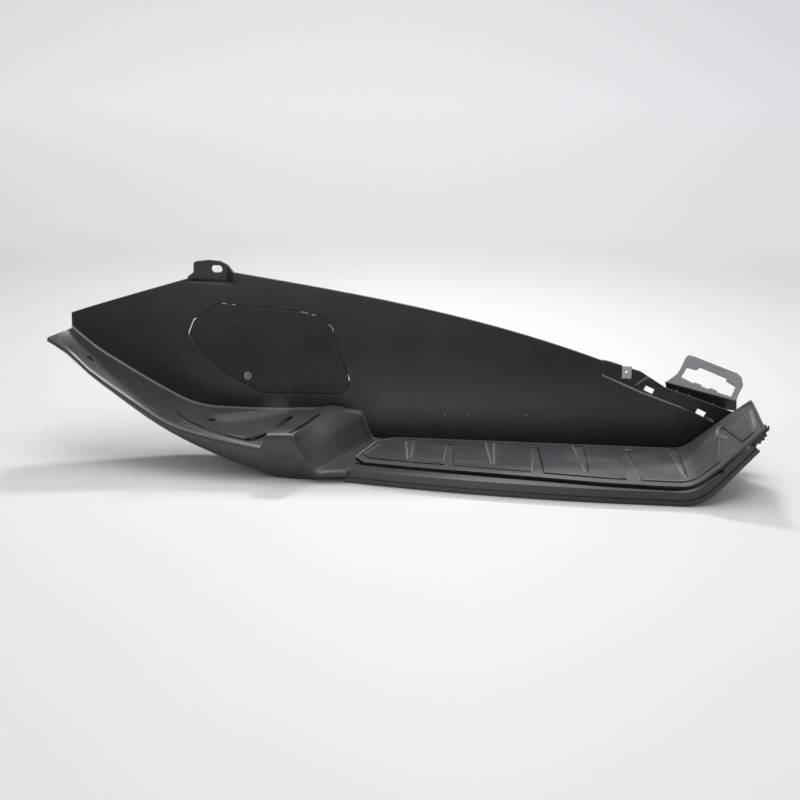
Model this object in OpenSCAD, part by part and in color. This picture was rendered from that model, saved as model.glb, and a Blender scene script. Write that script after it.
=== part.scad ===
// Scooter floorboard: one side of a step-through scooter's floor, with its side wall,
// raised rear shelf, foot space, rubber foot mat and service hatch.
// Millimetres, +X to the front of the scooter, +Y to the scooter's middle, +Z up.
// Design lengths are measured from the foot of the riser at the wall. The finished
// part is then moved so that its origin is the bottom centre of its overall box.

/* [Layout] */
// Riser foot to the rear tip
rear_length = 418; // [395:1:440]
// Riser foot to the front end of the mat
front_length = 487; // [465:1:510]
// Wall to the outer lip, at the widest place of the foot space
foot_width = 134; // [124:1:146]
// Wall to the outer edge of the rear shelf
shelf_width = 113; // [104:1:122]
// Thickness of the moulding
shell = 2.8; // [2.4:0.1:3.4]
// Space left between a seated piece and its seat
seat_gap = 0.3; // [0.2:0.05:0.5]

/* [Heights] */
// Top of the foot space floor
floor_height = 18.5; // [16:0.5:22]
// Top of the rear shelf at the wall
shelf_height = 55; // [50:0.5:60]
// Rise of the rear shelf from its flat part to the tip
rear_rise = 101; // [88:1:112]
// Height of the ridge in front of the rear shelf
ridge_height = 65; // [62:0.5:70]
// Height of the rounded dome where the ridge meets the wall, above the shelf
dome_height = 8.5; // [6:0.5:12]

/* [Side wall] */
// Radius of the wall's inward lean
wall_radius = 670; // [600:5:800]
// Wall height at its rear edge
wall_rear_height = 175; // [170:1:182]
// Wall height beside the ear
wall_ear_height = 231; // [225:1:238]
// Wall height at the start of the recessed lip
wall_front_height = 133; // [128:1:138]
// Step from the wall's face back to the recessed lip
lip_setback = 2.4; // [1.6:0.1:2.6]

/* [Ear] */
// Rear end of the ear, behind the riser foot
ear_start = 248; // [240:1:252]
// Length of the ear
ear_length = 64; // [58:1:70]
// Height of the ear over the ledge at its foot
ear_height = 29; // [25:1:33]
// Depth of the ledge at the ear's foot
ear_setback = 9; // [6:0.5:12]
// Length of the ear's slot
ear_slot_length = 14.5; // [12:0.5:17]
// Width of the ear's slot
ear_slot_width = 10; // [8:0.5:11]

/* [Foot space] */
// Angle of the rising front of the floor
rise_angle = 42; // [36:1:46]
// Length of the rising front, seen from above
rise_run = 81; // [74:1:90]
// Radius of the bend
bend_radius = 42; // [30:1:55]
// Depth of the groove between the lip's face and its lower flange
lip_groove = 1.8; // [1:0.1:2.2]

/* [Foot mat] */
// Thickness of the mat's web
mat_thickness = 2.6; // [2:0.1:3.2]
// Height of the raised pads over the web
pad_height = 1.9; // [1.2:0.1:2.4]
// Height of the rim over the web
rim_height = 1.4; // [1:0.1:2]
// Width of the rim
rim_width = 4.2; // [3:0.1:6]
// Riser foot to the first notch between the pads
notch_start = 53.5; // [48:0.5:60]
// Distance between the first two notches
notch_pitch = 52; // [48:0.5:54]
// Growth of each further distance
notch_growth = 1.7; // [0:0.1:1.8]

/* [Service hatch] */
// Rear end of the hatch, behind the riser foot
hatch_start = 245; // [240:1:250]
// Lowest point of the hatch
hatch_base = 77; // [74:0.5:80]
// Length of the hatch
hatch_length = 214; // [200:1:222]
// Height of the hatch
hatch_height = 115; // [106:1:118]
// Open gap around the hatch
hatch_gap = 1.1; // [0.8:0.1:1.5]
// Diameter of the screw cup
cup_diameter = 15; // [13.5:0.5:17]
// Diameter of the screw head
screw_head = 11; // [9:0.5:12]
// Diameter of the screw shank
screw_shank = 4.8; // [4:0.1:5.5]

/* [Fixing holes] */
// Diameter of the hole in the rear flange
flange_hole = 6.5; // [5.5:0.1:8]
// Diameter of the hole in the rear shelf
shelf_hole = 5.5; // [4.5:0.1:7]
// Length of each slot in the recessed lip
lip_slot_length = 12.5; // [10:0.5:14]
// Width of each slot in the recessed lip
lip_slot_width = 7; // [6:0.5:8]

/* [Clip nut] */
// Width of the clip nut
clip_width = 12; // [10:0.5:14]
// Height of the clip nut
clip_height = 15.5; // [14:0.5:17]
// Sheet thickness of the clip nut
clip_sheet = 1.0; // [0.8:0.1:1.2]
// Hole through the clip nut
clip_hole = 4.2; // [3.5:0.1:5]

/* [Frame ring] */
// Lean of the ring from upright
ring_tilt = 35; // [25:1:45]
// Thickness of the ring
ring_thickness = 3; // [2.4:0.1:4]

/* [Hidden] */
$fn = 48;

// Small overlap that joins solids inside the moulding
bite = 1.2;
// Steps drawn between two key sections of the rear shelf, and of the ridge and riser
shelf_steps = 2;
riser_steps = 4;
first_riser_section = 7;
// Points across the shelf, along an outer corner and down the skirt
shelf_points = 11;
corner_points = 3;
skirt_points = 6;
// Radius of the shelf's outer corner
corner_radius = 4;
// Steps of the floor's bend
bend_steps = 10;

// Front face of the wall at a height: an arc that leans back as it rises
function wall_y(z) = wall_radius - sqrt(wall_radius * wall_radius - pow(z - floor_height, 2));

// Outer edge of the foot space in plan, an arc-like curve that is straight at the front
lip_straight_x = front_length - 147;
lip_curve_length = 340;
lip_curve_depth = 26;
function lip_y(x) = -foot_width + lip_curve_depth * pow(max(0, lip_straight_x - x) / lip_curve_length, 2);

// Key section of the rear shelf, as shares of the rear length, the rise and the shelf width
function rear_section(x_wall, rise_wall, x_edge, rise_edge, width, skirt, lean) = [
    -rear_length * x_wall,
    shelf_height + rear_rise * rise_wall,
    -rear_length * x_edge,
    -shelf_width * width,
    shelf_height + rear_rise * rise_edge,
    -shelf_width * width + lean,
    shelf_height + rear_rise * rise_edge - skirt
];

// Key section of the ridge and riser, in millimetres from the riser's foot
function riser_section(x_wall, z_wall, x_edge, z_edge, inset, z_low) = [
    x_wall,
    z_wall,
    x_edge,
    -shelf_width + inset,
    z_edge,
    -shelf_width + 13,
    z_low
];

riser_drop = ridge_height - floor_height;
sections = [
    rear_section(0.966, 1.000, 1.000, 1.010, 0.354, 5, 2),
    rear_section(0.890, 0.752, 0.928, 0.940, 0.504, 9, 3),
    rear_section(0.818, 0.574, 0.852, 0.718, 0.620, 9, 4),
    rear_section(0.730, 0.366, 0.754, 0.485, 0.726, 11, 5),
    rear_section(0.646, 0.178, 0.665, 0.287, 0.814, 13.5, 6),
    rear_section(0.574, 0.045, 0.584, 0.119, 0.876, 15, 8),
    rear_section(0.502, -0.005, 0.502, 0.040, 0.930, 22, 10),
    rear_section(0.411, -0.010, 0.411, -0.020, 0.973, 31, 12),
    riser_section(-110, shelf_height, -126, shelf_height - 9, 0, 7),
    riser_section(-98, shelf_height + 1, -117.5, ridge_height - 1, 0, 4),
    riser_section(-70, shelf_height + 2, -86.5, ridge_height, 0, 0),
    riser_section(-35, shelf_height + 2, -79, floor_height + riser_drop * 0.70, 0.2, 0),
    riser_section(-16, shelf_height - 1, -71, floor_height + riser_drop * 0.37, 0.5, 0),
    riser_section(-8, floor_height + riser_drop * 0.42, -63, floor_height + riser_drop * 0.11, 1, 0),
    riser_section(0, floor_height + 1, -54, floor_height - 2, 1.5, 0.5),
    riser_section(7, floor_height - 1.6, -38, floor_height - 1.6, 2.5, 2),
    riser_section(13, floor_height - 2, -18, floor_height - 1.4, 4, 5)
];
section_count = len(sections);

// Slope of a smooth curve through a point that never swings past its neighbours
function even_slope(before, after) = before * after <= 0 ? 0 : 2 * before * after / (before + after);
function column(i, k) = sections[max(0, min(section_count - 1, i))][k];
function slope_at(i, k) = even_slope(column(i, k) - column(i - 1, k), column(i + 1, k) - column(i, k));
function blend(a, b, slope_a, slope_b, t) =
    a * (1 - t) * (1 - t) * (1 + 2 * t)
    + b * t * t * (3 - 2 * t)
    + slope_a * t * (1 - t) * (1 - t)
    - slope_b * t * t * (1 - t);
function section_at(i, t) = [
    for (k = [0:6]) blend(column(i, k), column(i + 1, k), slope_at(i, k), slope_at(i + 1, k), t)
];
smooth_sections = concat(
    [for (i = [0:first_riser_section - 1], s = [0:shelf_steps - 1]) section_at(i, s / shelf_steps)],
    [for (i = [first_riser_section:section_count - 2], s = [0:riser_steps - 1]) section_at(i, s / riser_steps)],
    [sections[section_count - 1]]
);

// Rounded dome at the wall end of the ridge
dome_x = -50;
dome_y = -14;
dome_length = 37;
dome_width = 62;
function dome(x, y) =
    dome_height * pow(max(0, 1 - pow((x - dome_x) / dome_length, 2) - pow((y - dome_y) / dome_width, 2)), 2);

// Points of one section, from inside the wall over the shelf and down the skirt
function cove(s) = [
    [s[0], wall_y(s[1]) + shell * 0.6, s[1] + 3.6],
    [s[0], wall_y(s[1]) - 0.5, s[1] + 2],
    [s[0], wall_y(s[1]) - 1.8, s[1] + 0.6]
];
function shelf_line(s) = [
    for (i = [0:shelf_points - 1])
        let (
            t = i / (shelf_points - 1),
            y_first = wall_y(s[1]) - 4.5,
            y_last = s[3] + corner_radius,
            x = s[0] + (s[2] - s[0]) * t,
            y = y_first + (y_last - y_first) * t,
            z = s[1] + (s[4] - s[1]) * t
        )
        [x, y, z + dome(x, y)]
];
function corner_line(s) = [
    for (i = [1:corner_points])
        let (a = 90 * i / corner_points)
        [
            s[2],
            s[3] + corner_radius * (1 - sin(a)),
            s[4] - corner_radius * (1 - cos(a))
        ]
];
function skirt_line(s) = [
    for (i = [1:skirt_points])
        let (
            t = i / skirt_points,
            z_top = s[4] - corner_radius,
            turn = (1 - cos(65 * t)) / (1 - cos(65))
        )
        [s[2], s[3] + (s[5] - s[3]) * turn, z_top + (s[6] - z_top) * t]
];
function section_points(s) = concat(cove(s), shelf_line(s), corner_line(s), skirt_line(s));

// Closed thin shell through a grid of points, thickened away from its seen side
function grid_normal(g, i, j) =
    let (
        along = g[min(i + 1, len(g) - 1)][j] - g[max(i - 1, 0)][j],
        across = g[i][min(j + 1, len(g[0]) - 1)] - g[i][max(j - 1, 0)],
        n = cross(along, across)
    )
    n / norm(n);
function shell_back(g, thickness) = [
    for (i = [0:len(g) - 1])
        [for (j = [0:len(g[0]) - 1]) g[i][j] + thickness * grid_normal(g, i, j)]
];
module grid_shell(g, thickness) {
    rows = len(g);
    cols = len(g[0]);
    back = shell_back(g, thickness);
    points = concat([for (r = g) each r], [for (r = back) each r]);
    far = rows * cols;
    faces = concat(
        [for (i = [0:rows - 2], j = [0:cols - 2])
            let (a = i * cols + j, b = a + cols)
            each [[a, b, b + 1], [a, b + 1, a + 1]]],
        [for (i = [0:rows - 2], j = [0:cols - 2])
            let (a = far + i * cols + j, b = a + cols)
            each [[a, b + 1, b], [a, a + 1, b + 1]]],
        [for (i = [0:rows - 2], edge = [0, 1])
            let (
                j = edge * (cols - 1),
                a = i * cols + j,
                b = a + cols,
                first = edge == 0 ? a : b,
                second = edge == 0 ? b : a
            )
            each [[first, far + second, second], [first, far + first, far + second]]],
        [for (j = [0:cols - 2], edge = [0, 1])
            let (
                a = edge * (rows - 1) * cols + j,
                first = edge == 0 ? a + 1 : a,
                second = edge == 0 ? a : a + 1
            )
            each [[first, far + second, second], [first, far + first, far + second]]]
    );
    polyhedron(points = points, faces = faces, convexity = 8);
}

shelf_grid = [for (s = smooth_sections) section_points(s)];
module shelf_shell() {
    grid_shell(shelf_grid, shell);
}

// Side view of the wall's face, or of a face at a distance behind it
wall_arc_low = -3;
wall_arc_high = 24;
wall_arc_steps = 22;
function wall_arc(behind) = [
    for (i = [0:wall_arc_steps])
        let (a = wall_arc_low + (wall_arc_high - wall_arc_low) * i / wall_arc_steps)
        [
            wall_radius - (wall_radius - behind) * cos(a),
            floor_height + (wall_radius - behind) * sin(a)
        ]
];

// Plate that follows the wall's lean, between two distances behind its front face
module wall_band(near, far, x_start, x_end) {
    translate([x_start, 0, 0])
        rotate([90, 0, 90])
            linear_extrude(height = x_end - x_start)
                polygon(concat(wall_arc(near), reversed(wall_arc(far))));
}

// Upright prism through the wall from an outline seen from the front
module through_wall(y_near = -30, y_far = 90) {
    translate([0, y_far, 0])
        rotate([90, 0, 0])
            linear_extrude(height = y_far - y_near)
                children();
}

// Top edge of the wall from the ear to the recessed lip: a straight fall with a growing bend
wall_rear_x = -rear_length * 0.968;
lip_start_x = front_length - 187;
ear_end_x = ear_length - ear_start;
top_length = lip_start_x - ear_end_x;
top_drop = wall_ear_height - wall_front_height;
top_first_slope = 0.135;
top_bend = top_drop / top_length - top_first_slope;
function wall_top(x) =
    let (d = x - ear_end_x)
    wall_ear_height - d * (top_first_slope + top_bend * pow(d / top_length, 2));
rear_top_fall = 9;
function rear_top(x) =
    wall_rear_height
    + (wall_ear_height - rear_top_fall - wall_rear_height) * pow((x - wall_rear_x) / (-ear_start - wall_rear_x), 0.96);

// Height of the ledge at the ear's foot
ledge_height = wall_ear_height - 14;

// Floor of the foot space seen from the side, at a height over its top face
bend_x = front_length - rise_run;
bend_tangent = bend_radius * tan(rise_angle / 2);
floor_back_x = -22;
rise_length = (front_length - bend_x) / cos(rise_angle);
function on_rise(along, over) = [
    bend_x + along * cos(rise_angle) - over * sin(rise_angle),
    floor_height + along * sin(rise_angle) + over * cos(rise_angle)
];
function floor_side(over, x_start, along_end) = concat(
    [[x_start, floor_height + over]],
    [for (i = [0:bend_steps])
        let (a = rise_angle * i / bend_steps)
        [
            bend_x - bend_tangent + (bend_radius - over) * sin(a),
            floor_height + bend_radius - (bend_radius - over) * cos(a)
        ]],
    [on_rise(along_end, over)]
);
function reversed(list) = [for (i = [len(list) - 1:-1:0]) list[i]];
module floor_band(low, high, x_start, along_end) {
    through_wall(-foot_width - 20, 20)
        polygon(concat(
            floor_side(low, x_start, along_end),
            reversed(floor_side(high, x_start, along_end))
        ));
}

// Plan outlines of the floor and of the mat
rise_edge_x = [bend_x, front_length - 47, front_length - 17];
rise_edge_in = [0, 8, 24];
function lip_plan_y(x) =
    lip_y(x)
    + (x <= rise_edge_x[0] ? 0
    : x <= rise_edge_x[1]
        ? rise_edge_in[1] * pow((x - rise_edge_x[0]) / (rise_edge_x[1] - rise_edge_x[0]), 2)
        : rise_edge_in[1] + (rise_edge_in[2] - rise_edge_in[1]) * (x - rise_edge_x[1]) / (rise_edge_x[2] - rise_edge_x[1]));
lip_plan_steps = 18;
function lip_plan(inward) = [
    for (i = [0:lip_plan_steps])
        let (x = floor_back_x + (front_length - floor_back_x) * i / lip_plan_steps)
        [x, lip_plan_y(x) + inward]
];
module floor_plan(inward = 0) {
    polygon(concat(
        lip_plan(inward),
        [[front_length, -6], [front_length - 22, bite], [floor_back_x + 4, bite]]
    ));
}

// Wall outline seen from the front
wall_foot_drop = 5;
module wall_outline() {
    polygon(concat(
        [for (i = [0:8])
            let (x = wall_rear_x + (-ear_start - wall_rear_x) * i / 8)
            [x, rear_top(x)]],
        [[-ear_start, ledge_height + 1.5], [ear_end_x - 4, ledge_height - 1.5], [ear_end_x, ledge_height - 1.5]],
        [for (i = [0:24])
            let (x = ear_end_x + top_length * i / 24)
            [x, wall_top(x)]],
        [
            [lip_start_x, wall_front_height - 18],
            [front_length - 140, wall_front_height - 36],
            [front_length - 89, wall_front_height - 55],
            [front_length - 46, wall_front_height - 74],
            [front_length - 46, floor_height + 34],
            [front_length - 83, floor_height - 3],
            [front_length - 92, 0],
            [-20, 0],
            [-20, 30]
        ],
        [for (i = [first_riser_section + 3:-1:0])
            let (s = sections[i])
            [s[0], s[1] - wall_foot_drop]]
    ));
}
module wall_shell() {
    intersection() {
        wall_band(0, shell, wall_rear_x - 1, front_length - 37);
        through_wall()
            wall_outline();
    }
}

// Recessed lip at the wall's front top edge
function lip_point(behind, under) = [front_length - behind, wall_front_height - under];
lip_low = [lip_point(195, 29), lip_point(147, 45), lip_point(95, 61), lip_point(47, 81)];
lip_high = [
    lip_point(21, 61),
    lip_point(61, 47),
    lip_point(108, 32),
    lip_point(141, 12),
    lip_point(175, 2),
    lip_point(187, -1),
    lip_point(195, -1)
];
slot_one = lip_point(129, 35.2);
slot_two = lip_point(62, 63.1);
slot_fall = 24;
module lip_slot(centre) {
    translate(centre)
        rotate(-slot_fall)
            square([lip_slot_length, lip_slot_width], center = true);
}
module recessed_lip() {
    intersection() {
        wall_band(lip_setback, lip_setback + shell, front_length - 197, front_length - 17);
        through_wall()
            difference() {
                polygon(concat(lip_low, lip_high));
                lip_slot(slot_one);
                lip_slot(slot_two);
            }
    }
    // Short web between the first slot and the clip nut
    translate([front_length - 149.5, wall_y(wall_front_height - 27) - 0.4, wall_front_height - 32])
        rotate([0, -36, 0])
            cube([17, lip_setback + bite, 1.6]);
}

// Ear with its slot, standing behind the wall on a small ledge
ear_y = wall_y(ledge_height) + ear_setback;
ear_slot_x = -209;
ear_slot_z = ledge_height + 17.5;
module ear_outline() {
    polygon([
        [-ear_start - 4, ledge_height - 4],
        [-ear_start + 1, ledge_height + 8],
        [-ear_start + 7, ledge_height + 12],
        [-ear_start + 8, ledge_height + ear_height - 4],
        [-ear_start + 12, ledge_height + ear_height - 2],
        [-ear_start + 28, ledge_height + ear_height],
        [-ear_start + 44, ledge_height + ear_height - 1],
        [-ear_start + 54, ledge_height + ear_height - 6],
        [ear_end_x, ledge_height + 14],
        [ear_end_x + 3, ledge_height - 6]
    ]);
}
module ear() {
    intersection() {
        union() {
            translate([-ear_start - 6, ear_y, ledge_height - 8])
                cube([ear_length - 3, shell, ear_height + 12]);
            // Slanted cheek that joins the plate to the wall
            translate([0, 0, ledge_height - 8])
                linear_extrude(height = ear_height + 8)
                    polygon([
                        [ear_end_x - 12, ear_y],
                        [ear_end_x - 9.5, ear_y + shell - 0.4],
                        [ear_end_x + 2.6, wall_y(ledge_height) + shell],
                        [ear_end_x + 2.6, wall_y(ledge_height) + 0.2],
                        [ear_end_x - 1, wall_y(ledge_height) + 0.2]
                    ]);
            // Small cheek at the rear side
            translate([0, 0, ledge_height - 8])
                linear_extrude(height = 18)
                    polygon([
                        [-ear_start - 4, wall_y(ledge_height) + 0.4],
                        [-ear_start - 4, wall_y(ledge_height) + shell],
                        [-ear_start + 3, ear_y + shell - 0.4],
                        [-ear_start + 6, ear_y]
                    ]);
        }
        through_wall()
            difference() {
                ear_outline();
                ear_slot();
            }
    }
    translate([-ear_start - 2, wall_y(ledge_height) + 0.6, ledge_height - shell])
        cube([ear_length - 1, ear_setback + bite, shell]);
}
module ear_slot() {
    hull()
        for (side = [-1, 1])
            translate([ear_slot_x + side * (ear_slot_length - ear_slot_width) / 2, ear_slot_z])
                circle(d = ear_slot_width);
}

// Thin raised field on the rear shelf
field_raise = 2.4;
function shelf_share(along, across) = [-rear_length * along, -shelf_width * across];
module shelf_field() {
    intersection() {
        grid_shell(
            [for (i = [8:25])
                [for (p = shelf_line(smooth_sections[i])) p + [0, 0, field_raise]]],
            field_raise + bite
        );
        linear_extrude(height = 120)
            offset(r = 6)
                offset(delta = -6)
                    polygon([
                        shelf_share(0.605, 0.30),
                        shelf_share(0.595, 0.46),
                        shelf_share(0.545, 0.64),
                        shelf_share(0.470, 0.79),
                        shelf_share(0.400, 0.86),
                        shelf_share(0.350, 0.88),
                        shelf_share(0.332, 0.87),
                        shelf_share(0.237, 0.336),
                        shelf_share(0.254, 0.115),
                        shelf_share(0.550, 0.115),
                        shelf_share(0.595, 0.16)
                    ]);
    }
}

// Floor plate of the foot space with its lip
lip_height = floor_height;
lip_face = 9.5;
groove_width = 2.4;
flange_setback = 0.5;
end_prong = 4;
module floor_plate() {
    difference() {
        floor_and_lip();
        // Slanted end of the lip, short of the mat's corner
        through_wall(-foot_width - 10, -foot_width + 40)
            polygon([
                [front_length - 23, floor_height + 61.5],
                [front_length - 4, floor_height + 44],
                [front_length + 33, floor_height + 44],
                [front_length + 33, 140],
                [front_length - 23, 140]
            ]);
    }
    // Two prongs under the mat's outer corner
    intersection() {
        floor_band(-4, -0.5, bend_x, rise_length + 8);
        linear_extrude(height = 200) {
            translate([front_length - 37, -foot_width + 33.5])
                square([37 + end_prong, 5]);
            translate([front_length - 37, -foot_width + 42])
                square([37 + end_prong / 2, 5]);
        }
    }
}
module floor_and_lip() {
    intersection() {
        floor_band(-shell, 0, floor_back_x, rise_length - 3);
        linear_extrude(height = 200)
            floor_plan();
    }
    // Upper face of the lip
    intersection() {
        floor_band(-lip_face, 0, floor_back_x, rise_length - 16);
        linear_extrude(height = 200)
            difference() {
                floor_plan();
                floor_plan(shell);
            }
    }
    // Lower flange of the lip, with a groove under the upper face
    difference() {
        intersection() {
            floor_band(-lip_height, -lip_face + bite, floor_back_x, rise_length - 16);
            linear_extrude(height = 200)
                difference() {
                    floor_plan(flange_setback);
                    floor_plan(lip_groove + shell);
                }
        }
        intersection() {
            floor_band(-lip_face - groove_width, -lip_face, floor_back_x - 5, rise_length);
            linear_extrude(height = 200)
                difference() {
                    floor_plan(-5);
                    floor_plan(lip_groove);
                }
        }
    }
}

// Ribs under the foot space
rib_thickness = 2;
rib_depth = 11;
rib_first_x = 30;
rib_pitch = 64;
rib_count = floor((bend_x - bend_tangent - rib_first_x) / rib_pitch) + 1;
module underside_ribs() {
    for (i = [0:rib_count - 1])
        translate([rib_first_x + i * rib_pitch, lip_y(rib_first_x + i * rib_pitch) + 2.5, floor_height - shell - rib_depth])
            cube([
                rib_thickness,
                -lip_y(rib_first_x + i * rib_pitch) - 1,
                rib_depth + bite
            ]);
    translate([floor_back_x + 8, -62, floor_height - shell - rib_depth])
        cube([bend_x - bend_tangent - floor_back_x - 10, rib_thickness, rib_depth + bite]);
}

// Boss with a recess and a bore, standing under a surface
module boss(at, turn, outer, depth) {
    translate(at)
        rotate(turn)
            translate([0, 0, -depth])
                cylinder(d = outer, h = depth);
}
module bore(at, turn, recess, recess_depth, hole, depth) {
    translate(at)
        rotate(turn) {
            translate([0, 0, -depth - 2])
                cylinder(d = hole, h = depth + 12);
            translate([0, 0, -recess_depth])
                cylinder(d = recess, h = 14);
        }
}
flange_at = [-rear_length * 0.8696, -shelf_width * 0.3274, shelf_height + rear_rise * 0.7327];
flange_turn = [0, 34, 0];
shelf_at = [-rear_length * 0.4833, -shelf_width * 0.4735, shelf_height + 1.6];

// Hatch outline seen from the front
module hatch_shape(grow = 0) {
    offset(delta = grow)
        offset(r = 7)
            offset(delta = -7)
                polygon([
                    hatch_share(0.187, 1),
                    hatch_share(0.692, 0.935),
                    hatch_share(0.808, 0.887),
                    hatch_share(0.893, 0.765),
                    hatch_share(1, 0.2),
                    hatch_share(0.995, 0.096),
                    hatch_share(0.935, 0.017),
                    hatch_share(0.453, 0),
                    hatch_share(0.210, 0.252),
                    hatch_share(0.037, 0.539),
                    hatch_share(0, 0.652),
                    hatch_share(0.033, 0.809)
                ]);
}
function hatch_share(along, up) = [hatch_length * along - hatch_start, hatch_base + hatch_height * up];
screw_x = hatch_share(0.367, 0.191)[0];
screw_z = hatch_share(0.367, 0.191)[1];
screw_angle = asin((screw_z - floor_height) / wall_radius);
screw_y = wall_y(screw_z);
cup_depth = 3;
cup_floor = 2.4;
cup_wall = 1.8;
module at_screw() {
    translate([screw_x, screw_y, screw_z])
        rotate([90 - screw_angle, 0, 0])
            children();
}
// Bearing frame behind the hatch, open where daylight shows past the hatch
module hatch_seat() {
    difference() {
        seat_frame();
        // Room for the hatch and for its screw cup
        intersection() {
            wall_band(-1, shell + seat_gap, -hatch_start - 10, hatch_length - hatch_start + 11);
            through_wall()
                hatch_shape(hatch_gap + seat_gap);
        }
        at_screw()
            translate([0, 0, -20])
                cylinder(d = cup_diameter + 2 * (cup_wall + hatch_gap), h = 40);
    }
}
module seat_frame() {
    intersection() {
        wall_band(shell - 0.4, shell * 2, -hatch_start - 10, hatch_length - hatch_start + 11);
        through_wall()
            difference() {
                hatch_shape(7);
                hatch_shape(-5);
                translate(hatch_share(-0.08, 0.53))
                    square([32, 34]);
                for (window = [[0.203, 7], [0.266, 5], [0.696, 10], [0.766, 5]])
                    translate(hatch_share(window[0], 0.81))
                        square([window[1], 30]);
                translate(hatch_share(0.855, 0.722))
                    square([16, 9]);
                translate(hatch_share(0.930, 0.165))
                    square([20, 8]);
            }
    }
}
boss_depth = 11;
// Pilot hole under the shank's size, and the room kept around the plain shank
pilot_cut = 0.6;
thread_room = 0.1;
boss_face = -cup_depth - cup_floor - seat_gap;
bracket_width = 18;
bracket_reach = 26;
bracket_plate = 3;
module screw_boss() {
    at_screw() {
        translate([0, 0, boss_face - boss_depth])
            cylinder(d = cup_diameter + 5, h = boss_depth);
        // Bracket from the boss to the wall below the hatch
        translate([-bracket_width / 2, -bracket_reach, boss_face - bracket_plate])
            cube([bracket_width, bracket_reach, bracket_plate]);
        translate([-bracket_width / 2, -bracket_reach, boss_face - bracket_plate])
            cube([bracket_width, 8, bracket_plate - boss_face - shell / 2]);
    }
}

// Clip nut over the edge of the recessed lip
clip_x = front_length - 158.5;
clip_top = wall_front_height - 5.5;
clip_mid = clip_top - clip_height / 2;
clip_angle = asin((clip_mid - floor_height) / wall_radius);
clip_y = wall_y(clip_mid) + lip_setback;
clip_barrel = clip_hole + 3;
module at_clip() {
    translate([clip_x, clip_y, clip_mid])
        rotate([-clip_angle, 0, 0])
            children();
}

// Frame ring with its bracket behind the recessed lip
ring_corner = [front_length - 105, 28, wall_front_height - 31];
ring_fall = 14;
ring_top = 44;
module at_ring() {
    translate(ring_corner)
        rotate([0, ring_fall, 0])
            rotate([90 - ring_tilt, 0, 0])
                children();
}
module ring() {
    at_ring()
        translate([0, 0, -ring_thickness])
            linear_extrude(height = ring_thickness)
                difference() {
                    polygon([
                        [-2, -1],
                        [11, 15],
                        [14, 23],
                        [18, 41],
                        [21, ring_top],
                        [29, ring_top],
                        [88, 37],
                        [94, 33],
                        [98, 23],
                        [94, 8],
                        [93, -1]
                    ]);
                    polygon([
                        [22, 27],
                        [35, 27],
                        [39, 32],
                        [75, 27],
                        [76, 23],
                        [89, 19],
                        [86, 4],
                        [66, 5],
                        [66, 7],
                        [56, 8],
                        [56, 6],
                        [45, 7],
                        [45, 9],
                        [35, 10],
                        [35, 8],
                        [17, 12]
                    ]);
                    polygon([[45, 37.6], [70, 34.6], [70, 33.4], [45, 36.4]]);
                }
    // Upright web under the ring
    intersection() {
        translate([ring_corner[0] - 4, ring_corner[1] - 1, ring_corner[2] - 62])
            cube([100, shell, 80]);
        through_wall()
            translate([ring_corner[0], ring_corner[2]])
                polygon([[-2, 0.5], [90.5, -22.5], [92, -36], [43, -29], [2, -17]]);
    }
    // Ribs that tie the web to the recessed lip
    for (tie = [[12, 20, 11], [28, 24, 9], [60, 40, 14], [76, 40, 9]])
        let (low = ring_corner[2] - tie[1], start = wall_y(low) + lip_setback + shell / 2)
        translate([ring_corner[0] + tie[0], start, low])
            cube([rib_thickness, ring_corner[1] + 0.4 - start, tie[2]]);
}

// Moves the design frame so that the origin is the bottom centre of the overall box
rear_limit = min([for (p = shell_back(shelf_grid, shell)[0]) p[0]]);
front_limit = front_length + end_prong;
back_limit = ring_corner[1] + ring_top * sin(ring_tilt) + ring_thickness * cos(ring_tilt);
module centred() {
    translate([-(front_limit + rear_limit) / 2, -(back_limit - foot_width) / 2, 0])
        children();
}

module floorboard() {
    color([0.13, 0.13, 0.135])
        centred()
            difference() {
                union() {
                    shelf_shell();
                    difference() {
                        wall_shell();
                        through_wall()
                            hatch_shape(hatch_gap);
                    }
                    hatch_seat();
                    screw_boss();
                    recessed_lip();
                    ear();
                    shelf_field();
                    floor_plate();
                    underside_ribs();
                    ring();
                    boss(flange_at, flange_turn, 17, 6);
                    boss(shelf_at, [0, 0, 0], 18, 8);
                }
                bore(flange_at, flange_turn, 12, 2.2, flange_hole, 6);
                bore(shelf_at, [0, 0, 0], 13, 4, shelf_hole, 8);
                at_screw()
                    translate([0, 0, -40])
                        cylinder(d = screw_shank - pilot_cut, h = 60);
                at_clip() {
                    rotate([90, 0, 0])
                        cylinder(d = clip_barrel + 1, h = 14, center = true);
                    // Flat seat for the nut's bend in the lip's edge
                    translate([-clip_width / 2 - seat_gap, -6, clip_height / 2 - clip_sheet - seat_gap])
                        cube([clip_width + 2 * seat_gap, 14, 20]);
                }
            }
}

// Plan outline of the mat
module mat_plan(inward = 0) {
    offset(delta = -inward)
        offset(r = 9)
            offset(delta = -9)
                polygon([
                    [-13, -foot_width + 62],
                    [0, -foot_width + 44],
                    [60, -foot_width + 35.5],
                    [173, -foot_width + 25],
                    [front_length - 193, -foot_width + 11.5],
                    [front_length - 117, -foot_width + 8],
                    [front_length - 52, -foot_width + 10],
                    [front_length - 22, -foot_width + 21],
                    [front_length, -foot_width + 30],
                    [front_length, -7],
                    [front_length - 22, -3.5],
                    [front_length - 75, -1.5],
                    [30, -1.5],
                    [6, -15]
                ]);
}
module mat_layer(low, high, along_end) {
    intersection() {
        floor_band(low, high, -30, along_end);
        linear_extrude(height = 200)
            children();
    }
}
notch_count = floor((bend_x - bend_tangent - notch_start) / (notch_pitch + 2 * notch_growth)) + 1;
function notch_x(i) = notch_start + notch_pitch * i + notch_growth / 2 * i * (i - 1);
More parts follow.
